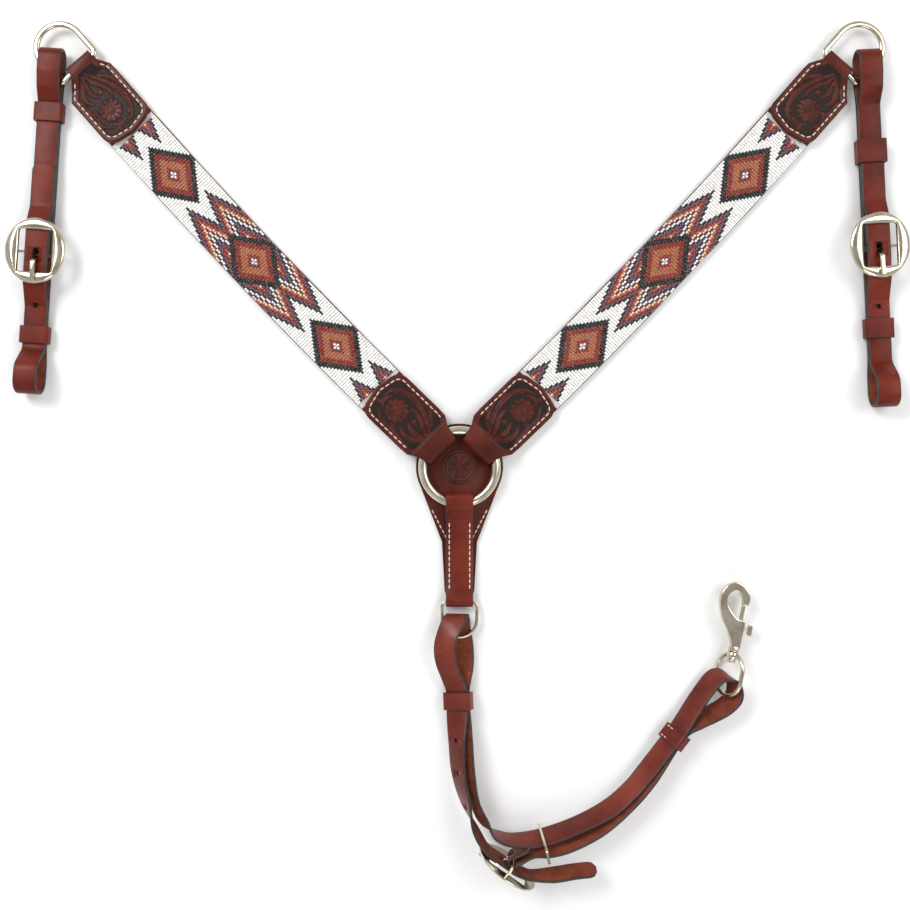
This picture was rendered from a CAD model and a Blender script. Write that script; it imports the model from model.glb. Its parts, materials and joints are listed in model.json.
import json
import math
import bmesh
import bpy
import numpy as np
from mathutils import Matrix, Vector

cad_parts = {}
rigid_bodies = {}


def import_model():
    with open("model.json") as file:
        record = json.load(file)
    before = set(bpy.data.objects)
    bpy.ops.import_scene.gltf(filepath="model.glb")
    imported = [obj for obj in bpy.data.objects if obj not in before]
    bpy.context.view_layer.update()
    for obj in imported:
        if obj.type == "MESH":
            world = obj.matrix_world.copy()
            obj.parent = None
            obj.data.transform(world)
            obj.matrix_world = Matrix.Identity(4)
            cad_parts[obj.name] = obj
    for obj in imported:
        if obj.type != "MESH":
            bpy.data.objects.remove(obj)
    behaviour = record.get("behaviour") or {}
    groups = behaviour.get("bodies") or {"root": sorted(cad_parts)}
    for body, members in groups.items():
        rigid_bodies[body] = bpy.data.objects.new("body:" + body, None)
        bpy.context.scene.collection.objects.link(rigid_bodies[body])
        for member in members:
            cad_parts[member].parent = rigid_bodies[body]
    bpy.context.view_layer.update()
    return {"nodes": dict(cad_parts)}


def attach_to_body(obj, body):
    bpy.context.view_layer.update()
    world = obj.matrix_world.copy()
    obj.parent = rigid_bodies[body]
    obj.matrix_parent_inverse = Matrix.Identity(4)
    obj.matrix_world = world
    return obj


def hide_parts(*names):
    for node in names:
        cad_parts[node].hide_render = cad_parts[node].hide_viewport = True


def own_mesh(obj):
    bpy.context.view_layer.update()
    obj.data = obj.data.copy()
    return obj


# Western beaded breast collar. Shapes are worked out in millimetres and turned into metres as they are made.
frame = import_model()
MM = 0.001
rng = np.random.default_rng(11)

# ---- Shader nodes ----


def rgb(red, green, blue):
    """An sRGB colour, 0 to 255, as linear values with alpha."""
    values = np.array([red, green, blue]) / 255
    linear = np.where(values <= 0.04045, values / 12.92, ((values + 0.055) / 1.055) ** 2.4)
    return (*linear.tolist(), 1.0)


def shader(name):
    material = bpy.data.materials.new(name)
    material.use_nodes = True
    return material, material.node_tree, material.node_tree.nodes["Principled BSDF"]


def add(tree, kind, inputs, **settings):
    """A new node. An input is a number, a colour or the socket that it is linked to."""
    node = tree.nodes.new(kind)
    for key, value in settings.items():
        setattr(node, key, value)
    for key, value in inputs.items():
        if isinstance(value, bpy.types.NodeSocket):
            tree.links.new(value, node.inputs[key])
        else:
            node.inputs[key].default_value = value
    return node


def ramp(tree, factor, *stops):
    """The colour of a colour ramp through (position, colour) stops."""
    node = add(tree, "ShaderNodeValToRGB", {"Fac": factor})
    elements = node.color_ramp.elements
    while len(elements) < len(stops):
        elements.new(0.5)
    for element, (position, colour) in zip(elements, stops):
        element.position = position
        element.color = colour
    return node.outputs["Color"]


def grey(value):
    return (value, value, value, 1.0)


def noise(tree, scale, detail=3.0, where=None, **more):
    """A noise texture in the piece's own coordinates; scale is in cells to a metre."""
    where = where or add(tree, "ShaderNodeTexCoord", {}).outputs["Object"]
    inputs = {"Vector": where, "Scale": scale, "Detail": detail, **more}
    return add(tree, "ShaderNodeTexNoise", inputs).outputs["Fac"]


def mix(tree, factor, first, second, blend="MIX"):
    """Two colours mixed."""
    node = tree.nodes.new("ShaderNodeMix")
    node.data_type = "RGBA"
    node.blend_type = blend
    for index, value in ((0, factor), (6, first), (7, second)):
        if isinstance(value, bpy.types.NodeSocket):
            tree.links.new(value, node.inputs[index])
        else:
            node.inputs[index].default_value = value
    return node.outputs[2]


def bump(tree, bsdf, heights, strength, distance):
    """Adds up textures' heights as a bump on the shader."""
    total = heights[0]
    for height in heights[1:]:
        total = add(tree, "ShaderNodeMath", {0: total, 1: height}, operation="ADD").outputs[0]
    node = add(tree, "ShaderNodeBump", {"Height": total, "Strength": strength, "Distance": distance})
    tree.links.new(node.outputs["Normal"], bsdf.inputs["Normal"])


def pores(tree, scale):
    """Shallow leather pores: the distance to the nearest cell's edge."""
    where = add(tree, "ShaderNodeTexCoord", {}).outputs["Object"]
    inputs = {"Vector": where, "Scale": scale}
    return add(tree, "ShaderNodeTexVoronoi", inputs, feature="DISTANCE_TO_EDGE").outputs["Distance"]


def leather(name, dark, middle, light, rough, strength=0.35, coat=0.03):
    """Smooth oiled leather: cloudy colour, fine pores, and shine that varies with the handling."""
    material, tree, bsdf = shader(name)
    cloudy = noise(tree, 24.0, 5.0, Roughness=0.62)
    body = ramp(tree, cloudy, (0.32, dark), (0.5, middle), (0.7, light))
    speck = ramp(tree, noise(tree, 900.0, 2.0), (0.35, grey(0.72)), (0.6, grey(1.0)))
    tree.links.new(mix(tree, 0.55, body, speck, "MULTIPLY"), bsdf.inputs["Base Color"])
    shine = ramp(tree, noise(tree, 60.0, 4.0), (0.3, grey(rough - 0.07)), (0.7, grey(rough + 0.1)))
    tree.links.new(shine, bsdf.inputs["Roughness"])
    bsdf.inputs["Coat Weight"].default_value = coat
    bsdf.inputs["Coat Roughness"].default_value = 0.25
    bsdf.inputs["Specular IOR Level"].default_value = 0.17
    bump(tree, bsdf, [pores(tree, 1100.0), noise(tree, 420.0, 5.0)], strength, 0.00012)
    return material


def fibres(name, dark, light, rough=0.8):
    """The flesh side or a cut edge: coarse matted fibres."""
    material, tree, bsdf = shader(name)
    cloudy = noise(tree, 110.0, 6.0, Roughness=0.7)
    tree.links.new(ramp(tree, cloudy, (0.32, dark), (0.72, light)), bsdf.inputs["Base Color"])
    bsdf.inputs["Roughness"].default_value = rough
    bump(tree, bsdf, [noise(tree, 1500.0, 4.0), noise(tree, 300.0, 3.0)], 0.5, 0.0002)
    return material


def metal(name, dark, light, low, high):
    """Polished plate with faint casting ripple and fine scratches."""
    material, tree, bsdf = shader(name)
    cloudy = noise(tree, 70.0, 3.0)
    tree.links.new(ramp(tree, cloudy, (0.3, dark), (0.7, light)), bsdf.inputs["Base Color"])
    bsdf.inputs["Metallic"].default_value = 1.0
    shine = ramp(tree, noise(tree, 260.0, 5.0, Distortion=1.5), (0.3, grey(low)), (0.75, grey(high)))
    tree.links.new(shine, bsdf.inputs["Roughness"])
    bump(tree, bsdf, [noise(tree, 120.0, 3.0), noise(tree, 2400.0, 2.0)], 0.12, 0.0001)
    return material


def tooled(name):
    """Tooled leather: dark stain in the matted ground and the cuts, and burnished tops."""
    material, tree, bsdf = shader(name)
    relief = add(tree, "ShaderNodeAttribute", {}, attribute_name="relief").outputs["Fac"]
    tops = ramp(tree, noise(tree, 140.0, 4.0), (0.3, rgb(56, 19, 13)), (0.7, rgb(90, 33, 22)))
    ground = ramp(tree, noise(tree, 1300.0, 2.0), (0.35, rgb(14, 9, 7)), (0.65, rgb(44, 31, 25)))
    amount = ramp(tree, relief, (0.18, grey(0.0)), (0.5, grey(1.0)))
    tree.links.new(mix(tree, amount, ground, tops), bsdf.inputs["Base Color"])
    tree.links.new(ramp(tree, amount, (0.0, grey(0.62)), (1.0, grey(0.36))), bsdf.inputs["Roughness"])
    bsdf.inputs["Coat Weight"].default_value = 0.05
    bsdf.inputs["Specular IOR Level"].default_value = 0.2
    bump(tree, bsdf, [noise(tree, 1400.0, 3.0), pores(tree, 900.0)], 0.4, 0.00015)
    return material


def glass_beads(name):
    """Opaque glass beads, each with its own colour and a slightly different tone."""
    material, tree, bsdf = shader(name)
    colour = add(tree, "ShaderNodeAttribute", {}, attribute_name="tint").outputs["Color"]
    cloud = ramp(tree, noise(tree, 500.0, 2.0), (0.3, grey(0.9)), (0.65, grey(1.0)))
    tree.links.new(mix(tree, 1.0, colour, cloud, "MULTIPLY"), bsdf.inputs["Base Color"])
    shine = ramp(tree, noise(tree, 350.0), (0.3, grey(0.2)), (0.7, grey(0.34)))
    tree.links.new(shine, bsdf.inputs["Roughness"])
    bsdf.inputs["Coat Weight"].default_value = 0.12
    bsdf.inputs["Coat Roughness"].default_value = 0.1
    return material


def thread(name, dark, light):
    """Waxed thread with a fine twist."""
    material, tree, bsdf = shader(name)
    where = add(tree, "ShaderNodeTexCoord", {}).outputs["Object"]
    inputs = {"Vector": where, "Scale": 700.0, "Distortion": 2.0}
    twist = add(tree, "ShaderNodeTexWave", inputs, bands_direction="DIAGONAL").outputs["Fac"]
    tree.links.new(ramp(tree, twist, (0.1, dark), (0.6, light)), bsdf.inputs["Base Color"])
    bsdf.inputs["Roughness"].default_value = 0.6
    bump(tree, bsdf, [twist], 0.5, 0.00015)
    return material


face = leather("smooth_leather", rgb(74, 22, 13), rgb(100, 32, 19), rgb(122, 44, 27), 0.4)
belly_face = leather("belly_leather", rgb(80, 29, 21), rgb(106, 41, 30), rgb(134, 60, 46), 0.33, coat=0.12)
shield_face = leather("shield_leather", rgb(62, 21, 14), rgb(82, 29, 19), rgb(100, 40, 27), 0.42)
cut_edge = fibres("burnished_edge", rgb(20, 13, 11), rgb(62, 46, 40), 0.42)
cap_edge = fibres("cap_edge", rgb(36, 16, 12), rgb(76, 34, 25), 0.5)
flesh = fibres("flesh_side", rgb(84, 30, 12), rgb(142, 62, 28))
tooling = tooled("tooled_leather")
stamped = tooled("stamped_leather")
nickel = metal("nickel", rgb(184, 174, 152), rgb(226, 217, 198), 0.1, 0.22)
steel = metal("spring_steel", rgb(120, 118, 114), rgb(165, 162, 156), 0.25, 0.42)
white_thread = thread("white_thread", rgb(176, 158, 134), rgb(240, 230, 212))
warp_thread = thread("warp_thread", rgb(160, 158, 154), rgb(228, 226, 222))
beads = glass_beads("glass_beads")
strap_leather = [face, cut_edge, flesh]

# ---- Shapes: points, faces and the zone of each face, which picks its material ----
GRAIN, EDGE, FLESH = 0, 1, 2


def unit(vectors):
    vectors = np.asarray(vectors, float)
    return vectors / np.linalg.norm(vectors, axis=-1, keepdims=True)


def join(*shapes):
    """Several shapes as one."""
    points, faces, zones, count = [], [], [], 0
    for more_points, more_faces, more_zones in shapes:
        points.append(more_points)
        faces += [[corner + count for corner in corners] for corners in more_faces]
        zones += list(more_zones)
        count += len(more_points)
    return np.concatenate(points), faces, zones


def grid(rows, columns, closed_rows=False, closed_columns=True):
    """The faces of a grid of points, row by row."""
    row = np.arange(rows if closed_rows else rows - 1)[:, None]
    column = np.arange(columns if closed_columns else columns - 1)[None, :]
    after_row, after_column = (row + 1) % rows, (column + 1) % columns
    corners = [
        row * columns + column,
        row * columns + after_column,
        after_row * columns + after_column,
        after_row * columns + column,
    ]
    return np.stack(corners, -1).reshape(-1, 4).tolist()


def sweep(path, wide, section, closed=False, zones=None):
    """A section carried along a path. It has one row of (across, out) pairs, or a row for each point; across
    runs along wide, and out along forward x wide."""
    path = np.asarray(path, float)
    if closed:
        forward = np.roll(path, -1, 0) - np.roll(path, 1, 0)
    else:
        forward = np.gradient(path, axis=0)
    forward = unit(forward)
    wide = np.broadcast_to(np.asarray(wide, float), path.shape)
    wide = unit(wide - forward * (wide * forward).sum(-1, keepdims=True))
    out = np.cross(forward, wide)
    section = np.broadcast_to(section, (len(path), *np.shape(section)[-2:]))
    points = path[:, None] + wide[:, None] * section[..., :1] + out[:, None] * section[..., 1:]
    sides = section.shape[1]
    faces = grid(len(path), sides, closed)
    zones = [GRAIN] * sides if zones is None else list(zones)
    zones = zones * (len(faces) // sides)
    if not closed:
        last = (len(path) - 1) * sides
        faces += [list(range(sides - 1, -1, -1)), list(range(last, last + sides))]
        zones += [EDGE, EDGE]
    return points.reshape(-1, 3), faces, zones


def circle(radius, sides=16):
    angles = np.arange(sides) * math.tau / sides
    return np.stack([np.cos(angles), np.sin(angles)], -1) * radius


def oval(across, out, power, sides=20):
    """A section between an ellipse (power 1) and a rectangle (power 0), of the given half sizes."""
    unit_circle = circle(1.0, sides)
    return np.sign(unit_circle) * np.abs(unit_circle) ** power * (across, out)


def strap_section(widths, thick, corner=0.55, steps=3):
    """Rounded strap sections, one for each width, and their zones."""
    angles = np.radians([90 * turn + 90 * k / steps for turn in range(4) for k in range(steps + 1)])
    signs = np.repeat([(1, 1), (-1, 1), (-1, -1), (1, -1)], steps + 1, axis=0)
    arcs = np.stack([np.cos(angles), np.sin(angles)], -1) * corner
    half = np.maximum(np.atleast_1d(widths) / 2 - corner, 0.05)
    centres = np.stack([half, np.full_like(half, thick / 2 - corner)], -1)
    zones = [EDGE] * steps + [GRAIN] + [EDGE] * (2 * steps + 1) + [FLESH] + [EDGE] * (steps + 1)
    return signs * centres[:, None] + arcs, zones


def rounded(corners, radii, step=8.0, run=3.0):
    """Points along straight runs joined by arcs, a point every step degrees and every run millimetres."""
    corners = np.asarray(corners, float)
    ends = [corners[0]]
    for before, corner, after, radius in zip(corners, corners[1:], corners[2:], radii):
        inward, outward = unit(before - corner), unit(after - corner)
        half = math.acos(np.clip(inward @ outward, -1, 1)) / 2
        middle = corner + unit(inward + outward) * radius / math.sin(half)
        start, end = (corner + side * radius / math.tan(half) - middle for side in (inward, outward))
        sweep_angle = math.pi - 2 * half
        count = max(2, round(math.degrees(sweep_angle) / step))
        for k in range(count + 1):
            part = k / count
            spoke = start * math.sin((1 - part) * sweep_angle) + end * math.sin(part * sweep_angle)
            ends.append(middle + spoke / math.sin(sweep_angle))
    ends.append(corners[-1])
    points = []
    for start, end in zip(ends, ends[1:]):
        count = max(1, int(np.linalg.norm(end - start) / run))
        points += [start + (end - start) * k / count for k in range(count)]
    return np.array([*points, ends[-1]])


def curve(controls, steps=8):
    """Points on a smooth curve through the controls."""
    line = np.asarray(controls, float)
    line = np.concatenate([[2 * line[0] - line[1]], line, [2 * line[-1] - line[-2]]])
    t = (np.arange(steps) / steps)[:, None]
    points = []
    for a, b, c, d in zip(line, line[1:], line[2:], line[3:]):
        cubic = (b * 3 - a - c * 3 + d) * t**3 / 2
        points.append(b + (c - a) * t / 2 + (a * 2 - b * 5 + c * 4 - d) * t**2 / 2 + cubic)
    return np.concatenate([*points, line[-2:-1]])


class Place:
    """A frame of reference: local millimetres to the collar's."""

    def __init__(self, origin, x_dir, z_dir=(0, 0, 1)):
        self.origin = np.asarray(origin, float)
        x, z = unit(x_dir), unit(z_dir)
        x = unit(x - z * (x @ z))
        self.axes = np.array([x, np.cross(z, x), z])

    def __call__(self, points):
        return np.asarray(points, float) @ self.axes + self.origin

    def turn(self, vectors):
        return np.asarray(vectors, float) @ self.axes


def level(x, y, angle):
    return Place((x, y, 0), (math.cos(math.radians(angle)), math.sin(math.radians(angle)), 0))


# ---- Pieces ----
WELD_DISTANCE = 2e-6  # metres
FLAT_ANGLE, SMOOTH_ANGLE = 1.0, 32.0


def attach(piece, body, slot, *nodes):
    """Rides a piece on its body and names what it stands for."""
    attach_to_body(piece, body)
    if nodes:
        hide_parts(*nodes)
    return piece


def solid(name, shape, materials, sharp=38.0):
    """A mesh object from a shape in millimetres."""
    points, faces, zones = shape
    mesh = bpy.data.meshes.new(name)
    mesh.from_pydata((np.asarray(points) * MM).tolist(), [], faces)
    for material in materials:
        mesh.materials.append(material)
    mesh.polygons.foreach_set("material_index", np.minimum(zones, len(materials) - 1))
    mesh.shade_smooth()
    mesh.set_sharp_from_angle(angle=math.radians(sharp))
    piece = bpy.data.objects.new(name, mesh)
    bpy.context.scene.collection.objects.link(piece)
    return piece


def bake_modifiers(piece):
    """Leaves a piece with the mesh that its modifiers make."""
    depsgraph = bpy.context.evaluated_depsgraph_get()
    mesh = bpy.data.meshes.new_from_object(piece.evaluated_get(depsgraph))
    piece.modifiers.clear()
    piece.data = mesh


def softened(node, name, materials, is_edge, width=0.7, angle=35.0):
    """A CAD node's shape with its edges rounded over. is_edge says which faces are cut edges, from their
    normals and middles in millimetres."""
    mesh = frame["nodes"][node].data.copy()
    mesh.materials.clear()
    for material in materials:
        mesh.materials.append(material)
    work = bmesh.new()
    work.from_mesh(mesh)
    bmesh.ops.remove_doubles(work, verts=work.verts, dist=WELD_DISTANCE)
    flat = math.radians(FLAT_ANGLE)
    bmesh.ops.dissolve_limit(work, angle_limit=flat, verts=work.verts, edges=work.edges)
    work.to_mesh(mesh)
    work.free()
    piece = bpy.data.objects.new(name, mesh)
    bpy.context.scene.collection.objects.link(piece)
    bevel = piece.modifiers.new("Rounding", "BEVEL")
    bevel.width = width * MM
    bevel.segments = 3
    bevel.angle_limit = math.radians(angle)
    bevel.use_clamp_overlap = True
    bake_modifiers(piece)
    mesh = piece.data
    normals = np.array([polygon.normal for polygon in mesh.polygons])
    middles = np.array([polygon.center for polygon in mesh.polygons]) / MM
    zones = np.where(is_edge(normals, middles), EDGE, GRAIN)
    mesh.polygons.foreach_set("material_index", zones.astype(np.int32))
    mesh.shade_smooth()
    mesh.set_sharp_from_angle(angle=math.radians(SMOOTH_ANGLE))
    return piece


def cut(piece, cutters):
    """Cuts holes through a piece; their walls are cut edges."""
    for index, (points, faces, zones) in enumerate(cutters):
        cutter = solid(f"cutter_{index}", (points, faces, [EDGE] * len(zones)), list(piece.data.materials))
        bore = piece.modifiers.new("Bore", "BOOLEAN")
        bore.object = cutter
        bore.solver = "EXACT"
        bore.use_self = True
    bake_modifiers(piece)
    for spare in [thing for thing in bpy.data.objects if thing.name.startswith("cutter_")]:
        bpy.data.objects.remove(spare)


# ---- Shoulders: bead panels, backing and straps ----
SHOULDER_ANGLE = 46.32
SHOULDER_LENGTH = 460.0
BOW = 5.4
END_TURN = 2.3
BODY_TOP = 3.6
CAP_TOP = 8.2
PANEL_START, PANEL_END = 91.0, 389.0
PANEL_MIDDLE = 239.7
PITCH_ALONG, PITCH_ACROSS = 2.32, 1.73
BEAD_RADIUS, BEAD_LENGTH = 1.12, 1.62
COLUMNS, ROWS = 62, 12

WHITE = rgb(252, 250, 246)
BLACK = rgb(24, 20, 22)
NAVY = rgb(20, 30, 54)
PALE_BLUE = rgb(128, 196, 226)
MAUVE = rgb(118, 84, 104)
MAROON = rgb(96, 26, 32)
DARK_RED = rgb(126, 34, 34)
BRICK = rgb(142, 42, 26)
COPPER = rgb(182, 108, 68)
ORANGE = rgb(186, 88, 52)
CREAM = rgb(238, 214, 188)

# Rings of colour from a diamond's middle outwards, and bands of an arrow from its edge inwards
DIAMOND = [PALE_BLUE, WHITE, BRICK, BRICK] + [COPPER] * 4 + [BRICK] * 3 + [BLACK] * 3
ARROW = [BLACK, MAUVE, DARK_RED, ORANGE, CREAM, MAROON, WHITE]
ARROW += [NAVY, MAUVE, DARK_RED, ORANGE, CREAM, NAVY, MAUVE]
DIAMOND_COLUMNS = (-42, 0, 42)
ARROW_END, END_ARROW_START = 30, 54
ARROW_ROW = 6


def bead_colour(column, row):
    """The colour of one bead of the loomed pattern: three diamonds over stepped arrows on white."""
    for middle in DIAMOND_COLUMNS:
        ring = abs(column - middle) + abs(row)
        if ring < len(DIAMOND):
            return DIAMOND[ring]
    if abs(column) <= ARROW_END:
        reach = (ARROW_END - abs(column)) // 2
    else:
        reach = (abs(column) - END_ARROW_START) // 2
    band = reach - abs(abs(row) - ARROW_ROW)
    return ARROW[min(band, len(ARROW) - 1)] if band >= 0 else WHITE


def bow(u):
    """How far the middle of a shoulder strap bows out of line at u."""
    half = SHOULDER_LENGTH / 2
    return BOW * (1 - ((u - half) / half) ** 2)


def bead_panel(name, place, side):
    """Loomed glass beads in straight rows, each bead lying across the strap."""
    sides = 8
    spots = [(c, r) for c in range(-COLUMNS, COLUMNS + 1) for r in range(-ROWS, ROWS + 1)]
    rings = ((-0.5, 0.7), (-0.26, 1.0), (0.26, 1.0), (0.5, 0.7))  # along the bead, and how wide it is there
    turn = circle(BEAD_RADIUS, sides)
    bead = np.array([(t[0] * k, BEAD_LENGTH * v, t[1] * k) for v, k in rings for t in turn])
    faces = grid(len(rings), sides)
    last = (len(rings) - 1) * sides
    faces += [list(range(sides - 1, -1, -1)), list(range(last, last + sides))]
    grid_spots = np.array(spots, float)
    jitter = rng.normal(0, 1, (len(spots), 4))
    u = PANEL_MIDDLE + grid_spots[:, 0] * PITCH_ALONG + jitter[:, 0] * 0.05
    v = side * bow(u) + grid_spots[:, 1] * PITCH_ACROSS + jitter[:, 1] * 0.04
    slope = side * (bow(u + 1) - bow(u - 1)) / 2 + jitter[:, 2] * 0.03
    size = 1 + np.clip(jitter[:, 3] * 0.025, -0.06, 0.04)
    local = bead[None] * size[:, None, None]
    x = local[..., 0] - local[..., 1] * slope[:, None] + u[:, None]
    y = local[..., 1] + local[..., 0] * slope[:, None] + v[:, None]
    z = local[..., 2] + BODY_TOP + 0.95 + jitter[:, 1, None] * 0.04
    points = place(np.stack([x, y, z], -1).reshape(-1, 3))
    count = len(bead)
    all_faces = []
    for k in range(len(spots)):
        all_faces += [[corner + k * count for corner in corners[::-1]] for corners in faces]
    piece = solid(name, (points, all_faces, [0] * len(all_faces)), [beads], 60.0)
    tones = 1 + rng.normal(0, 0.06, len(spots))
    colours = np.array([bead_colour(*spot) for spot in spots])
    colours[:, :3] *= tones[:, None]
    tint = piece.data.attributes.new("tint", "FLOAT_COLOR", "POINT")
    tint.data.foreach_set("color", np.repeat(np.clip(colours, 0, 1), count, 0).ravel().astype(np.float32))
    return piece


def bowed(place, side, start, end, z, step=4.0):
    """Points along the bowed middle of a shoulder strap."""
    u = np.linspace(start, end, int((end - start) / step) + 1)
    return place(np.stack([u, side * bow(u), np.full_like(u, z)], -1))


def ribbon(name, path, wide, widths, thick, materials, corner=1.1):
    section, zones = strap_section(widths, thick, corner)
    return solid(name, sweep(path, wide, section, zones=zones), materials)


# ---- Tooled caps ----
STITCH_INSET = 3.8
CAP_HALF = 23.0
RIM_TRIM = 0.7


def outline_distance(points, outline):
    """How far each point is from a line through the outline's points."""
    nearest = np.full(len(points), 1e9)
    along = np.zeros(len(points))
    for index, (start, end) in enumerate(zip(outline, outline[1:])):
        run = end - start
        part = np.clip(((points - start) @ run) / (run @ run), 0, 1)
        distance = np.linalg.norm(points - start - part[:, None] * run, axis=1)
        closer = distance < nearest
        nearest[closer] = distance[closer]
        along[closer] = (index + part[closer]) / (len(outline) - 1)
    return nearest, along


def leaf(points, controls, width, lobes):
    """Height of one acanthus leaf: a scalloped, tapering stroke with a sunk vein and ribs."""
    line = curve(controls, 10)
    distance, along = outline_distance(points, line)
    taper = width * np.sin(np.pi * np.clip(along * 0.92 + 0.08, 0, 1)) ** 0.7
    taper *= 0.84 + 0.16 * np.abs(np.cos(np.pi * lobes * along))
    inside = np.clip(distance / np.maximum(taper, 0.05), 0, 1.4)
    height = np.clip(1.12 - inside**3, 0, 1)
    vein = np.exp(-((distance / 0.38) ** 2)) * 0.6
    rib = np.clip(0.35 - np.abs(np.sin(np.pi * lobes * (along - 0.05 * inside))), 0, 1) * 1.3
    height *= 1 - np.clip(vein + rib * np.clip(inside * 1.6 - 0.2, 0, 1), 0, 0.75)
    return np.where(inside < 1.02, height, 0)


def curl(points, middle, radius, turns, start):
    """Height of a seed scroll: a round boss wound with a spiral cut."""
    x, y = (points - middle).T
    rho = np.hypot(x, y)
    phi = np.arctan2(y, x) + math.radians(start)
    cut_line = np.abs(np.sin((phi - math.tau * turns * rho / radius) / 2))
    height = np.clip(1.25 - (rho / radius) ** 4, 0, 1) * (0.45 + 0.55 * np.clip(cut_line * 1.8, 0, 1))
    return np.where(rho < radius, height, 0)


def flower(points, middle, radius, petals, spin):
    """Height of an open flower: cupped petals with turned rims round a ribbed, swirling centre."""
    x, y = (points - middle).T
    rho = np.hypot(x, y)
    phi = np.arctan2(y, x) + math.radians(spin)
    edge = radius * (0.82 + 0.18 * np.abs(np.cos(phi * petals / 2)) ** 0.7)
    part = rho / edge
    gap = np.abs(np.sin(phi * petals / 2 + math.pi / 2))
    cup = 0.5 + 0.5 * np.clip((part - 0.45) / 0.4, 0, 1)
    ribs = 1 - 0.22 * (np.sin(phi * petals * 3) > 0.55) * (part > 0.5)
    petal = cup * ribs * np.clip(gap * 3.2, 0.12, 1) * np.clip((1.03 - part) * 9, 0, 1)
    heart = 0.95 * np.clip(0.3 + np.abs(np.sin(phi * 4 + rho * 1.1)), 0, 1)
    return np.where(rho < radius * 0.36, heart, np.where(part < 1.03, petal, 0))


def carving(points, far, lean):
    """Height from 0 to 1 of the floral design inside a cap, whose field ends at far. lean mirrors it."""
    x, y = points[:, 0] - far, points[:, 1] * lean
    local = np.stack([x, y], -1)
    parts = [
        leaf(local, [(-55, -1), (-44, -8), (-30, -13.5), (-16, -13.5), (-6, -8), (-3.5, 1)], 2.5, 11),
        leaf(local, [(-54, 1), (-47, -1), (-40, -5), (-32, -7.5), (-27, -6)], 2.2, 6),
        leaf(local, [(-54, 3), (-47, 5), (-40, 6), (-33, 3)], 2.4, 5),
        leaf(local, [(-52, 6), (-45, 11), (-38, 13), (-31, 10)], 2.6, 6),
        leaf(local, [(-49, -8), (-45, -12), (-39, -16), (-31, -17)], 2.1, 5),
        leaf(local, [(-40, 17), (-30, 17), (-22, 17.5), (-14, 16), (-7, 11)], 2.3, 7),
        leaf(local, [(-9, 8), (-6, 4), (-6.5, 0), (-9, -4)], 2.0, 4),
        curl(local, (-36.5, -0.6), 2.3, 1.3, 40),
        curl(local, (-3.5, 6.5), 2.2, 1.2, 120),
        curl(local, (-25.5, 13.6), 2.1, 1.2, 200),
        curl(local, (-22, -17), 2.0, 1.2, 300),
        curl(local, (-9.5, -8.4), 1.9, 1.2, 10),
    ]
    leaves = np.max(parts, axis=0)
    bloom = flower(local, (-20, 2.5), 10.0, 11, 10)
    clear = np.hypot(x + 20, y - 2.5) < 10.6
    return np.where(clear, bloom, leaves)


def cap_outline(tip, necks, trim=0.0):
    """The free edge of a cap, from one side of the neck round the tip to the other, drawn in by trim."""
    low, high = ([(x, y - trim) for x, y in neck if x < tip - 16] for neck in necks)
    half = CAP_HALF - trim
    corners = [(x, -y) for x, y in low] + [(tip - trim - 4, -half), (tip - trim, 0), (tip - trim - 4, half)]
    radii = [3.0] * (len(low) - 1) + [11 - trim, 0.4, 11 - trim] + [3.0] * (len(high) - 1)
    return rounded(corners + high[::-1], radii, 6.0, 2.0)


def cap_relief(name, place, tip, fold, necks, lean):
    """The tooled face of a cap: plain border, matted ground and raised flowers. It starts down the slope of
    the neck; fold is where that slope begins and how high it is there."""
    rows, columns = 150, 104
    fold_end, fold_top = fold
    start = fold_end + 1.0
    outline = cap_outline(tip, necks)
    rim = cap_outline(tip, necks, RIM_TRIM)
    rim = rim[rim[:, 0] > tip - 20]
    across = np.linspace(-1, 1, columns)
    last = np.interp(across * (CAP_HALF - RIM_TRIM - 0.02), rim[:, 1], rim[:, 0])
    x = start + (last - start) * np.linspace(0, 1, rows)[:, None]
    low, high = (np.interp(x, *np.array(neck).T) - RIM_TRIM for neck in necks)
    spots = np.stack([x, np.where(across < 0, low, high) * across], -1).reshape(-1, 2)
    depth, _ = outline_distance(spots, outline)
    neck = spots[:, 0] - start
    field = np.clip((np.minimum(depth, neck + 4.4) - 5.5) / 0.5, 0, 1)
    design = carving(spots, tip - 5.6, lean)
    border = 0.92 * np.clip((np.minimum(depth, neck * 0.7 + 0.3) - 0.3) / 0.7, 0, 1)
    border -= 0.3 * np.exp(-(((depth - STITCH_INSET) / 0.45) ** 2))
    relief = border * (1 - field) + (0.06 + 0.94 * design) * field
    relief -= 0.5 * np.exp(-(((depth - 5.5) / 0.3) ** 2)) * (neck > 1.2)
    matting = 0.05 * np.sin(spots[:, 0] * 7.3) * np.sin(spots[:, 1] * 7.9) * field * (design < 0.05)
    base = np.interp(spots[:, 0], [fold_end, fold_end + 10], [fold_top, CAP_TOP])
    surface = np.column_stack([spots, base + 0.12 + 0.95 * np.clip(relief, 0, 1.1) + matting])
    underside = np.column_stack([spots, base - 0.4])
    top = grid(rows, columns, closed_columns=False)
    count = len(spots)
    faces = [corners[::-1] for corners in top] + [[corner + count for corner in corners] for corners in top]
    ring = edge_ring(rows, columns).tolist()
    faces += [[a, b, b + count, a + count] for a, b in zip(ring, ring[1:] + ring[:1])]
    shape = place(np.concatenate([surface, underside])), faces, [0] * len(faces)
    piece = solid(name, shape, [tooling], 70.0)
    layer = piece.data.attributes.new("relief", "FLOAT", "POINT")
    layer.data.foreach_set("value", np.concatenate([relief, np.full(count, 0.9)]).astype(np.float32))
    return piece


def edge_ring(rows, columns):
    """The grid's outside points, in order round it."""
    index = np.arange(rows * columns).reshape(rows, columns)
    return np.concatenate([index[0, :-1], index[:-1, -1], index[-1, :0:-1], index[:0:-1, 0]])


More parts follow.
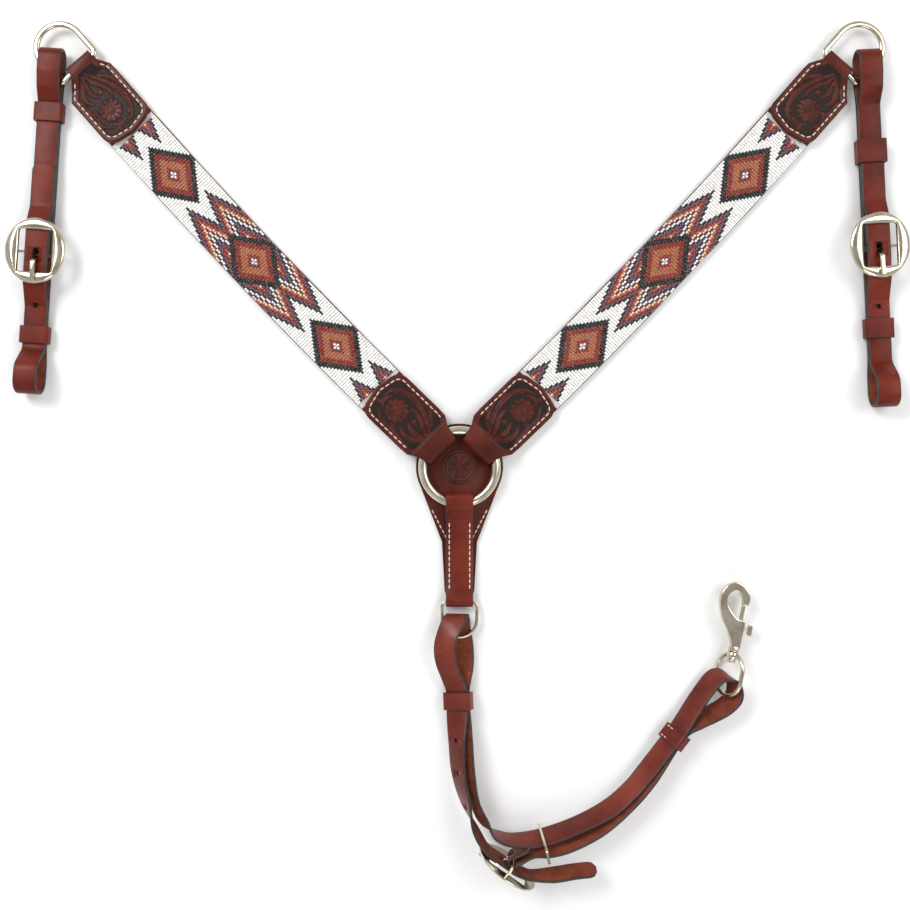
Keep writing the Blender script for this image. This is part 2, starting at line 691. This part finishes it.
def stitches(line, pitch, length, up=(0, 0, 1), radius=0.52):
    """Thread capsules lying along a line, one every pitch."""
    gaps = np.linalg.norm(np.diff(line, axis=0), axis=1)
    run = np.concatenate([[0], np.cumsum(gaps)])
    shapes = []
    swell = np.array([0.3, 0.85, 1.0, 1.0, 0.85, 0.3])
    for middle in np.arange(pitch * 0.6, run[-1] - pitch * 0.4, pitch):
        at = middle + np.array([-0.5, -0.38, -0.15, 0.15, 0.38, 0.5]) * length
        path = np.stack([np.interp(at, run, line[:, k]) for k in range(3)], -1)
        path += np.array([-0.25, 0, 0.08, 0.08, 0, -0.25])[:, None] * np.asarray(up, float)
        ring = oval(radius, radius * 0.8, 1.0, 8)
        shapes.append(sweep(path, np.cross(up, path[-1] - path[0]), ring[None] * swell[:, None, None]))
    return join(*shapes)


def lifted(line, z):
    return np.column_stack([line, np.full(len(line), z)])


def no_zones(normals, middles):
    """Metal has no cut edges."""
    return np.zeros(len(normals), bool)


def folded_zones(place):
    """Cut edges of a cap: the faces to either side and the tip, but not the fold."""

    def is_edge(normals, middles):
        local = normals @ place.axes.T
        return (np.abs(local[:, 1]) > 0.55) | ((local[:, 0] > 0.5) & (middles[:, 2] > 5.0))

    return is_edge


def across_zones(axis):
    """Cut edges: the faces that look along an axis, either way."""
    axis = unit(axis)
    return lambda normals, middles: np.abs(normals @ axis) > 0.3


def level_zones(normals, middles):
    """Cut edges: every face that isn't level."""
    return np.abs(normals[:, 2]) < 0.8


def shoulder(name, side, angle):
    """Strap, beads and caps of one shoulder."""
    body = f"{name}_shoulder"
    place = level(0, 0, angle)
    strap = softened(f"{name}_strap", f"{name}_shoulder_strap", [face, cut_edge], level_zones, 0.5)
    attach(strap, body, "harness_leather", f"{name}_strap")
    attach(bead_panel(f"{name}_beads", place, side), body, "beads", f"{name}_bead_panel")
    backing = bowed(place, side, PANEL_START, PANEL_END, BODY_TOP + 0.25)
    backing = ribbon(f"{name}_bead_backing", backing, place.turn((0, -1, 0)), 43.2, 0.6, [warp_thread], 0.2)
    attach(backing, body, "beads")

    end = place((SHOULDER_LENGTH, 0, 0))
    lower = level(0, 0, angle + side * END_TURN)
    upper = level(end[0], end[1], angle + 180 - side * END_TURN)
    seams = []
    neck = [(31, 18), (38, 22.4), (46, 23), (100, 23)]
    tug_side = [(0, 8.5), (9, 8.5), (13, 12), (24, 23), (100, 23)]
    free_side = [(0, 15.5), (12, 16.5), (20, 22.6), (26, 23), (100, 23)]
    upper_necks = (tug_side, free_side) if side > 0 else (free_side, tug_side)
    # Each cap's tip along the strap, and where the slope off its fold begins and how high it is there
    caps = (
        ("lower", lower, 94.8, (34.2, 16.7), (neck, neck), side),
        ("upper", upper, 75.4, (9.35, 13.2), upper_necks, -side),
    )
    for part, spot, tip, fold, necks, lean in caps:
        node = f"{name}_{part}_cap"
        base = softened(node, f"{node}_leather", [shield_face, cap_edge], folded_zones(spot), 0.8)
        attach(base, body, "tooled_leather", node)
        attach(cap_relief(f"{node}_tooling", spot, tip, fold, necks, lean), body, "tooled_leather")
        line = cap_outline(tip, necks, STITCH_INSET)
        line = line[line[:, 0] > fold[0] + 4.5]
        surface = np.interp(line[:, 0], [fold[0], fold[0] + 10], [fold[1], CAP_TOP])
        seam = stitches(np.column_stack([line, surface + 0.92]), 5.2, 3.9)
        seams.append((spot(seam[0]), *seam[1:]))
    thread_piece = solid(f"{name}_cap_stitches", join(*seams), [white_thread], 80.0)
    attach(thread_piece, body, "tooled_leather")
    dee_ring(f"{name}_dee", f"{name}_dee_ring", upper, (6.5, -16.0, 19.5, 8.6), (2.5, 1.8), f"{name}_dee")


def dee_ring(node, name, place, sizes, halves, body):
    """A dee with a straight bar and a round bow."""
    bar, arc, radius, height = sizes
    bow_angles = np.radians(np.linspace(90, 270, 37))
    arc_points = np.stack([arc + radius * np.cos(bow_angles), radius * np.sin(bow_angles)], -1)
    side = rounded([(arc, -radius), (bar, -radius), (bar, radius), (arc, radius)], [4.0, 4.0], 9.0, 2.0)
    path = np.concatenate([arc_points[:-1], side[:-1]])
    path = place(lifted(path, height))
    wire = sweep(path, (0, 0, 1), oval(halves[1], halves[0], 0.78), closed=True)
    piece = solid(name, wire, [nickel], 60.0)
    attach(piece, body, "nickel", node)


shoulder("left", 1, 180 - SHOULDER_ANGLE)
shoulder("right", -1, SHOULDER_ANGLE)

# ---- Centre: ring, shield and drop strap ----

RING_RADIUS, RING_WIRE, RING_HEIGHT = 30.0, 3.9, 10.0
ring_path = lifted(circle(RING_RADIUS, 96), RING_HEIGHT)
ring = solid("ring_wire", sweep(ring_path, (0, 0, 1), circle(RING_WIRE, 24), closed=True), [nickel], 60.0)
attach(ring, "ring", "nickel", "center_ring")

shield = softened("ring_shield", "shield_leather", [shield_face, cut_edge], level_zones, 0.8)
attach(shield, "drop", "harness_leather", "ring_shield")
drop = softened("drop_strap", "drop_strap_leather", [face, cut_edge], across_zones((1, 0, 0)), 0.9)
attach(drop, "drop", "harness_leather", "drop_strap")
small_dee = level(0, 0, 90)
dee_ring("lower_dee", "lower_dee_ring", small_dee, (-111.0, -125.5, 14.35, 7.05), (1.4, 1.4), "lower_dee")


def rosette(name, radius, base, body):
    """A plain stamped rosette: rings, beading and eight petals pressed into the leather."""
    rings, spokes = 44, 192
    rho = np.linspace(0.3, radius, rings)[:, None]
    phi = np.linspace(0, math.tau, spokes, endpoint=False)[None, :]
    part = rho / radius
    petal = np.clip((0.60 * np.abs(np.cos(phi * 4)) ** 0.5 - part) * 9 + 0.5, 0, 1)
    rib = np.exp(-((np.sin(phi * 4) / 0.09) ** 2)) * 0.5 * (part > 0.2)
    height = 0.55 * petal * (part < 0.62) - rib * petal * 0.5
    height = np.where(part < 0.17, 0.6 * np.clip((0.17 - part) * 30, 0, 1), height)
    dots = np.clip(1 - ((part - 0.74) / 0.055) ** 2, 0, 1) * (0.35 + 0.65 * np.abs(np.sin(phi * 16)))
    height = np.where(np.abs(part - 0.74) < 0.055, 0.5 * dots, height)
    rim = np.exp(-(((part - 0.88) / 0.02) ** 2)) + np.exp(-(((part - 0.64) / 0.018) ** 2))
    edge = 0.5 * np.clip((part - 0.9) * 20, 0, 1)
    height = np.clip(height + edge, 0, 0.6) * (1 - 0.8 * np.clip(rim, 0, 1))
    height = height * np.clip((1 - part) * 26, 0, 1)
    x, y = rho * np.cos(phi), rho * np.sin(phi)
    points = np.stack([x, y, base + 0.04 + height], -1).reshape(-1, 3)
    floor_ring = points[-spokes:] - (0, 0, 0.3)
    faces = [corners[::-1] for corners in grid(rings, spokes)]
    top, last = len(points), (rings - 1) * spokes
    faces.append(list(range(spokes)))
    for k in range(spokes):
        after = (k + 1) % spokes
        faces.append([last + after, last + k, top + k, top + after])
    faces.append(list(range(top + spokes - 1, top - 1, -1)))
    relief = np.concatenate([0.32 + height.ravel() * 0.9, np.full(spokes, 0.8)])
    piece = solid(name, (np.concatenate([points, floor_ring]), faces, [0] * len(faces)), [stamped], 60.0)
    layer = piece.data.attributes.new("relief", "FLOAT", "POINT")
    layer.data.foreach_set("value", relief.astype(np.float32))
    attach(piece, body, "harness_leather")


SHIELD_TOP, DROP_TOP = 3.0, 8.15
rosette("shield_rosette", 14.6, SHIELD_TOP, "drop")

SEAM_LIFT, SEAM_PITCH = 0.2, 4.6
seam_heights = np.linspace(-45, -103, 30)
drop_lines = [lifted([(x, y) for y in seam_heights], DROP_TOP + SEAM_LIFT) for x in (-8.4, 8.4)]
drop_seams = [stitches(line, SEAM_PITCH, 3.5) for line in drop_lines]
attach(solid("drop_strap_stitches", join(*drop_seams), [white_thread], 80.0), "drop", "harness_leather")
TAIL = np.array([(23.2, -34.5), (9.8, -60.5)])
tail_lines = [lifted(TAIL * (sign, 1), SHIELD_TOP + SEAM_LIFT) for sign in (1, -1)]
tail_seams = [stitches(line, SEAM_PITCH, 3.4) for line in tail_lines]
attach(solid("shield_stitches", join(*tail_seams), [white_thread], 80.0), "drop", "harness_leather")

# ---- Buckles ----
BAR_DEPTH, BAR_REACH = 9.2, 17.0
FRAME_LENGTH, FRAME_WIDTH = 54.0, 49.0
WINDOW_HALVES, WINDOW_CORNER = (17.3, 13.8), 2.0


def rounded_loop(half_x, half_y, radius, steps=10):
    """A rounded rectangle, a point at a time, with the same number of points in every corner."""
    angles = np.radians([90 * turn + 90 * k / steps for turn in range(4) for k in range(steps + 1)])
    signs = np.repeat([(1, 1), (-1, 1), (-1, -1), (1, -1)], steps + 1, axis=0)
    centre = np.array([half_x, half_y]) - radius
    return signs * centre + np.stack([np.cos(angles), np.sin(angles)], -1) * radius


def filled(loop, step):
    """A closed loop with points added along its straight sides."""
    parts = []
    for start, end in zip(loop, np.roll(loop, -1, 0)):
        count = max(1, round(float(np.linalg.norm(end - start)) / step))
        parts.append(start + (end - start) * np.arange(count)[:, None] / count)
    return np.concatenate(parts)


def buckle(name, place, body, node):
    """A domed round frame with a square window, and its set-back bar bent from one piece of wire."""
    inner = filled(rounded_loop(*WINDOW_HALVES, WINDOW_CORNER, 4), 1.5)
    facing = unit(inner / (FRAME_LENGTH, FRAME_WIDTH))
    outer = facing * (FRAME_LENGTH / 2, FRAME_WIDTH / 2)
    profile = [(0.0, -1.5), (0.0, 0.1), (0.06, 0.75), (0.2, 1.25), (0.42, 1.5), (0.64, 1.35)]
    profile += [(0.84, 0.8), (0.96, 0.0), (1.0, -0.7), (0.97, -1.5)]
    part, z = np.array(profile).T
    loops = inner[:, None] + (outer - inner)[:, None] * part[None, :, None]
    heights = np.broadcast_to(BAR_DEPTH + z, loops.shape[:2])
    points = np.concatenate([loops, heights[..., None]], -1).reshape(-1, 3)
    faces = [corners[::-1] for corners in grid(len(outer), len(part), True)]
    dome = place(points), faces, [0] * len(faces)
    reach = BAR_REACH + 1.0
    wire = [(0, -reach, BAR_DEPTH - 1), (0, -reach, 0), (0, reach, 0), (0, reach, BAR_DEPTH - 1)]
    bar = sweep(place(rounded(wire, [1.6, 1.6], 12.0)), place.turn((1, 0, 0)), circle(1.3, 14))
    attach(solid(name, join(dome, bar), [nickel], 55.0), body, "nickel", node)


# ---- Tugs ----
LEATHER = 2.8
BACK_LAYER, FRONT_LAYER, BAR_HEIGHT, CHAPE_LAYER = 4.5, 7.6, 10.5, 13.4
BILLET_REST, BILLET_OVER_BAR, TABLE_LAYER = 10.5, 16.4, 1.6
TUG_WIDTH = 19.0
END_LENGTH = 7.0


def tip_widths(path, width, both=False):
    """The width at each point of a path, rounded in at its last end, or at both."""
    gaps = np.concatenate([[0], np.cumsum(np.linalg.norm(np.diff(path, axis=0), axis=1))])
    left = gaps[-1] - gaps
    if both:
        left = np.minimum(left, gaps)
    inset_part = np.clip(1 - left / END_LENGTH, 0, 1)
    return width * (0.34 + 0.66 * np.sqrt(1 - inset_part**2))


def fine_ends(path):
    """A path with extra points near its last end, where it narrows."""
    run = path[-1] - path[-4]
    extra = [path[-4] + run * part for part in (0.2, 0.4, 0.55, 0.68, 0.78, 0.86, 0.92, 0.96, 0.985, 1.0)]
    return np.concatenate([path[:-3], extra])


def tug(name, top, tilt, length, bar, tip, crown, holes):
    """One tug strap: over the dee, round the bottom loop and back through its buckle."""
    place = level(*top, tilt - 90)
    bend = 1.3 + 0.2 + LEATHER / 2
    edge = LEATHER / 2
    last = length - edge
    corners = [
        (bar - 20, CHAPE_LAYER),
        (bar + bend, CHAPE_LAYER),
        (bar + bend, FRONT_LAYER),
        (44, FRONT_LAYER),
        (33, crown - 2.3),
        (20, crown),
        (edge, crown),
        (edge, TABLE_LAYER),
        (26, TABLE_LAYER),
        (46, BACK_LAYER),
        (length - 40, BACK_LAYER),
        (length - 26, TABLE_LAYER),
        (last, TABLE_LAYER),
        (last, 25),
        (length - 23, 24),
        (length - 37, FRONT_LAYER),
        (bar + 44, FRONT_LAYER),
        (bar + 24, BILLET_OVER_BAR),
        (bar - 24, BILLET_OVER_BAR),
        (bar - 38, BILLET_REST),
        (tip, BILLET_REST),
    ]
    turn = (crown - TABLE_LAYER) / 2 - 0.05
    radii = [bend - 0.05] * 2 + [5, 8, 8, turn, turn, 12, 12, 12, 12, 10, 10, 10, 8, 12, 12, 8, 8]
    flat = rounded(corners, radii, 9.0, 3.0)
    path = fine_ends(np.column_stack([flat[:, 0], np.zeros(len(flat)), flat[:, 1]]))
    widths = tip_widths(path, TUG_WIDTH)
    across = place.turn((0, -1, 0))
    strap = ribbon(f"{name}_tug_leather", place(path), across, widths, LEATHER, strap_leather)
    slot_box = [(-5.5, -2.6), (5.5, -2.6), (5.5, 2.6), (-5.5, 2.6)]
    at = place(np.array([(bar - 0.5, 0, BAR_HEIGHT - 4.4), (bar - 0.5, 0, BAR_HEIGHT + 4.4)]))
    cutters = [sweep(at, place.turn((1, 0, 0)), np.array(slot_box))]
    over_low, over_high = BILLET_OVER_BAR - 1.8, BILLET_OVER_BAR + 1.8
    cutters.append(shifted_peg(place, (bar + 3.5, 0), 2.6, over_low, over_high, 3.65))
    cutters += [shifted_peg(place, (s, 0), 2.1, FRONT_LAYER - 2, FRONT_LAYER + 3, 0) for s in holes]
    cut(strap, cutters)
    attach(strap, f"{name}_tug", "strap_leather", f"{name}_tug_strap")
    buckle_place = Place(place((bar, 0, BAR_HEIGHT)), place.axes[0])
    buckle(f"{name}_buckle", buckle_place, f"{name}_tug", f"{name}_buckle_frame")
    polished(f"{name}_buckle_tongue", f"{name}_tongue_wire", f"{name}_tongue", 0.8)
    polished(f"{name}_wire_keeper", f"{name}_wire_loop", f"{name}_tug", 0.7)
    for part in ("upper", "lower"):
        node = f"{name}_{part}_keeper"
        loop = softened(node, f"{node}_loop", [face, cut_edge], across_zones(place.axes[0]), 0.5)
        attach(loop, node, "strap_leather", node)


def shifted_peg(place, middle, radius, low, high, stretch):
    """An upright cutter, round or lengthened along x, between two heights."""
    ring = circle(radius, 24)
    ring[:, 0] += np.where(ring[:, 0] > 0, stretch, -stretch)
    line = place(np.array([(*middle, low), (*middle, high)]))
    return sweep(line, place.turn((1, 0, 0)), ring)


def polished(node, name, body, width):
    """A metal part from its CAD shape with rounded edges."""
    piece = softened(node, name, [nickel], no_zones, width, 30.0)
    attach(piece, body, "nickel", node)


tug("left", (-334.5, 344.5), -3.7, 285, 168.5, 95, 15.5, [212])
tug("right", (334.5, 343.0), 2.7, 294, 162, 86, 18.5, [211])

# ---- Belly strap ----

# Directions that the width of the strap points to
FLAT = (0.99, 0, 0.14)
TURNED = (0.93, 0, 0.37)
LEANING = (0.70, 0.03, 0.71)
STEEP = (0.57, 0.06, 0.82)
RISING = (0.38, 0.17, 0.91)
SQUARE = (-0.08, -0.116, 0.99)
OUTWARD = (0, -0.34, 0.94)
LOWER_ARC = (0.10, -0.50, 0.86)
RIGHT_ARC = (0.30, -0.53, 0.79)
SNAP_LEAN = (0.50, -0.39, 0.77)

# The middle of the strap and the way its width points, from the end folded round the buckle's bar
STATIONS = [
    ((54.6, -307.9, 24.4), SQUARE),
    ((48.2, -310.7, 24.9), SQUARE),
    ((42.0, -313.3, 24.9), SQUARE),
    ((40.0, -316.2, 24.9), SQUARE),
    ((41.6, -319.2, 24.9), SQUARE),
    ((44.8, -319.3, 24.9), SQUARE),
    ((50.5, -316.6, 24.9), SQUARE),
    ((60.0, -312.2, 24.2), SQUARE),
    ((74.0, -309.0, 22.4), LOWER_ARC),
    ((92.0, -304.2, 20.6), LOWER_ARC),
    ((115.0, -291.8, 18.6), RIGHT_ARC),
    ((137.6, -272.4, 17.4), RIGHT_ARC),
    ((154.3, -253.0, 16.4), SNAP_LEAN),
    ((170.8, -228.3, 14.1), SNAP_LEAN),
    ((182.0, -214.1, 13.0), SNAP_LEAN),
    ((194.5, -207.5, 13.0), SNAP_LEAN),
    ((205.5, -202.5, 12.6), SNAP_LEAN),
    ((217.5, -195.8, 12.4), SNAP_LEAN),
    ((225.4, -186.6, 11.7), SNAP_LEAN),
    ((222.8, -174.0, 11.8), SNAP_LEAN),
    ((210.6, -171.4, 13.0), SNAP_LEAN),
    ((197.6, -186.5, 12.8), SNAP_LEAN),
    ((180.2, -212.6, 14.9), SNAP_LEAN),
    ((169.0, -226.8, 16.0), SNAP_LEAN),
    ((151.6, -249.2, 16.2), SNAP_LEAN),
    ((139.8, -262.8, 17.0), RIGHT_ARC),
    ((121.9, -278.0, 18.0), RIGHT_ARC),
    ((96.5, -290.6, 19.5), LOWER_ARC),
    ((69.3, -300.0, 21.0), LOWER_ARC),
    ((46.2, -302.6, 22.0), OUTWARD),
    ((31.1, -299.0, 22.0), SQUARE),
    ((20.3, -288.5, 20.5), RISING),
    ((12.2, -272.5, 18.5), RISING),
    ((6.8, -248.0, 15.5), STEEP),
    ((4.0, -223.0, 11.8), LEANING),
    ((0.2, -201.0, 8.6), TURNED),
    ((-0.6, -183.0, 7.2), TURNED),
    ((2.4, -163.0, 4.8), FLAT),
    ((2.0, -147.0, 3.2), FLAT),
    ((-0.4, -131.5, 2.9), FLAT),
    ((-1.0, -123.4, 6.0), FLAT),
    ((-1.8, -121.3, 11.5), FLAT),
    ((-4.5, -124.6, 17.6), FLAT),
    ((-9.4, -135.0, 21.0), TURNED),
    ((-12.0, -147.0, 21.2), TURNED),
    ((-10.6, -160.0, 18.2), TURNED),
    ((-5.6, -174.0, 13.2), TURNED),
    ((-1.9, -185.5, 10.4), TURNED),
    ((-1.7, -199.0, 11.4), TURNED),
    ((-2.2, -223.0, 15.6), LEANING),
    ((-0.8, -249.0, 17.8), STEEP),
    ((5.0, -272.0, 20.4), RISING),
    ((12.6, -293.0, 23.0), SQUARE),
    ((21.6, -308.4, 24.6), SQUARE),
    ((30.0, -314.6, 24.9), SQUARE),
    ((39.8, -321.4, 24.9), SQUARE),
    ((46.6, -326.1, 24.9), SQUARE),
    ((58.0, -330.0, 24.5), SQUARE),
    ((76.0, -330.0, 23.5), OUTWARD),
    ((94.0, -327.5, 22.5), OUTWARD),
    ((111.0, -326.0, 22.0), OUTWARD),
]

STEPS = 6
middles = curve([spot for spot, lean in STATIONS], STEPS)
leans = curve([lean for spot, lean in STATIONS], STEPS)
BELLY_LEATHER = 2.4
belly_widths = tip_widths(middles, TUG_WIDTH)
belly_materials = [belly_face, cut_edge, flesh]
belly = ribbon("belly_strap_leather", middles, leans, belly_widths, BELLY_LEATHER, belly_materials)

belly_across = unit(SQUARE)
belly_tongue = np.array([-0.823, 0.568, 0])
belly_buckle = Place((43.2, -316.4, 24.9), belly_tongue, np.cross(belly_across, belly_tongue))
belly_cutters = []
at = belly_buckle(np.array([(1.9, 0, -4.2), (1.9, 0, 7.6)]))
slot_box = np.array([(-7.85, -2.6), (7.85, -2.6), (7.85, 2.6), (-7.85, 2.6)])
belly_cutters.append(sweep(at, belly_buckle.turn((1, 0, 0)), slot_box))
FRONT_FIRST, FRONT_LAST = 48, 53  # the stations at the ends of the front run, which is punched
front_run = np.arange(FRONT_FIRST * STEPS, FRONT_LAST * STEPS)
for y in (-225.0, -250.0, -275.0):
    index = front_run[np.argmin(np.abs(middles[front_run, 1] - y))]
    forward = unit(middles[index + 1] - middles[index - 1])
    out = unit(np.cross(forward, leans[index]))
    line = np.array([middles[index] - out * 2.6, middles[index] + out * 2.6])
    belly_cutters.append(sweep(line, forward, circle(2.0, 20)))
cut(belly, belly_cutters)
attach(belly, "belly_strap", "strap_leather", "belly_strap")
buckle("belly_buckle", belly_buckle, "belly_strap", "belly_buckle_frame")
polished("belly_buckle_tongue", "belly_tongue_wire", "belly_tongue", 0.8)
polished("belly_wire_keeper", "belly_wire_loop", "belly_strap", 0.7)
END_RUN = (0.615, 0.785, -0.055)
for node, along in (("belly_upper_keeper", (0.04, -1, 0.08)), ("belly_end_keeper", END_RUN)):
    loop = softened(node, f"{node}_loop", [belly_face, cut_edge], across_zones(along), 0.45)
    attach(loop, node, "strap_leather", node)

end_place = Place((175.5, -220.4, 14.5), END_RUN, np.cross(END_RUN, unit(SNAP_LEAN)))
rows = [end_place([(x, y, -5.05) for y in np.linspace(-9.5, 1.5, 6)]) for x in (-4.6, 4.4)]
keeper_seams = [stitches(row, 3.7, 2.8, -end_place.axes[2], 0.42) for row in rows]
keeper_thread = solid("end_keeper_stitches", join(*keeper_seams), [white_thread], 80.0)
attach(keeper_thread, "belly_end_keeper", "strap_leather")

# ---- Bolt snap ----


def cast(node, name, body, voxel, passes):
    """A cast part: its CAD shape with every edge melted over."""
    piece = softened(node, name, [nickel], no_zones, 0.01)
    remesh = piece.modifiers.new("Cast", "REMESH")
    remesh.mode = "VOXEL"
    remesh.voxel_size = voxel * MM
    smooth = piece.modifiers.new("Melt", "SMOOTH")
    smooth.factor = 0.5
    smooth.iterations = passes
    bake_modifiers(piece)
    piece.data.shade_smooth()
    attach(piece, body, "nickel", node)


cast("snap_hook", "snap_hook_casting", "snap_hook", 0.4, 30)
cast("snap_bolt", "snap_bolt_casting", "snap_bolt", 0.3, 4)
shank = Place((224.6, -149.1, 12.4), (0.982, -0.191, 0))
BORE_X, SPRING_START, SPRING_PITCH = 1.2, 3.7, 1.5
SPRING_RADIUS, SPRING_WIRE = 1.3, 0.3
spring_turns = np.linspace(0, 7.2, 140)
spring_path = np.column_stack([
    BORE_X + SPRING_RADIUS * np.cos(spring_turns * math.tau),
    SPRING_START + spring_turns * SPRING_PITCH,
    SPRING_RADIUS * np.sin(spring_turns * math.tau),
])
spring_coil = sweep(shank(spring_path), shank.turn((0, 1, 0)), circle(SPRING_WIRE, 10))
spring = solid("snap_coil", spring_coil, [steel], 70.0)
attach(spring, "snap_hook", "spring_steel", "snap_spring")
spring_anchor = tuple(shank((BORE_X, 3.6, 0)) * MM)
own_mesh(spring)

shank_axis = shank.axes[1]
eye_across = unit(np.array(SNAP_LEAN) - shank_axis * (np.array(SNAP_LEAN) @ shank_axis))
eye_place = Place(shank.origin, eye_across, np.cross(eye_across, shank_axis))
eye_loop = rounded_loop(13.2, 17.2, 13.0, 16) - (0, 21.0)
eye_wire = sweep(eye_place(lifted(eye_loop, 0)), eye_place.axes[2], circle(1.75, 16), closed=True)
swivel = sweep(
    eye_place(np.array([(0, -8.1, 0), (0, -7.6, 0), (0, -2.6, 0), (0, -2.1, 0)])),
    eye_place.axes[0],
    circle(1.0, 32)[None] * np.array([4.1, 4.6, 4.6, 4.1])[:, None, None],
)
attach(solid("snap_eye_ring", join(eye_wire, swivel), [nickel], 50.0), "snap_eye", "nickel", "snap_eye")

# ---- Floor, light and camera ----
floor_material, tree, bsdf = shader("pale_floor")
tree.links.new(ramp(tree, noise(tree, 3.0), (0.3, grey(0.86)), (0.7, grey(0.9))), bsdf.inputs["Base Color"])
bsdf.inputs["Roughness"].default_value = 0.9
bsdf.inputs["Specular IOR Level"].default_value = 0.2
FLOOR_HALF, FLOOR_TOP = 3000, -0.7
floor_corners = np.array([(-1, -1), (1, -1), (1, 1), (-1, 1)]) * FLOOR_HALF
floor_points = lifted(floor_corners, FLOOR_TOP)
floor = solid("floor", (floor_points, [[0, 1, 2, 3]], [0]), [floor_material])

scene = bpy.context.scene
scene.view_settings.view_transform = "Standard"
world = bpy.data.worlds.new("studio")
scene.world = world
world.use_nodes = True
tree = world.node_tree
where = add(tree, "ShaderNodeTexCoord", {}).outputs["Generated"]
height = add(tree, "ShaderNodeSeparateXYZ", {"Vector": where}).outputs["Z"]
sky_stops = [(0.0, 0.28), (0.3, 0.9), (0.7, 1.0), (0.86, 0.5), (1.0, 0.62)]
sky = ramp(tree, height, *((stop, grey(value)) for stop, value in sky_stops))
tree.links.new(sky, tree.nodes["Background"].inputs["Color"])
tree.nodes["Background"].inputs["Strength"].default_value = 0.75


def softbox(name, spot, size, power):
    """A square area light, aimed at the middle of the collar."""
    light = bpy.data.lights.new(name, "AREA")
    light.size = size
    light.energy = power
    lamp = bpy.data.objects.new(name, light)
    lamp.location = spot
    lamp.rotation_euler = (Vector((0, 0, 0)) - Vector(spot)).to_track_quat("-Z", "Y").to_euler()
    scene.collection.objects.link(lamp)


softbox("key_light", (-1.1, 1.0, 1.7), 0.9, 26)
softbox("fill_light", (1.3, 0.5, 1.6), 1.2, 14)
softbox("back_light", (0.2, -1.4, 1.5), 1.0, 9)

camera = bpy.data.cameras.new("camera")
camera.lens = 47.7
camera.sensor_width = 36.0
viewer = bpy.data.objects.new("camera", camera)
viewer.location = (-0.0037, 0.010, 1.0)
scene.collection.objects.link(viewer)
scene.camera = viewer
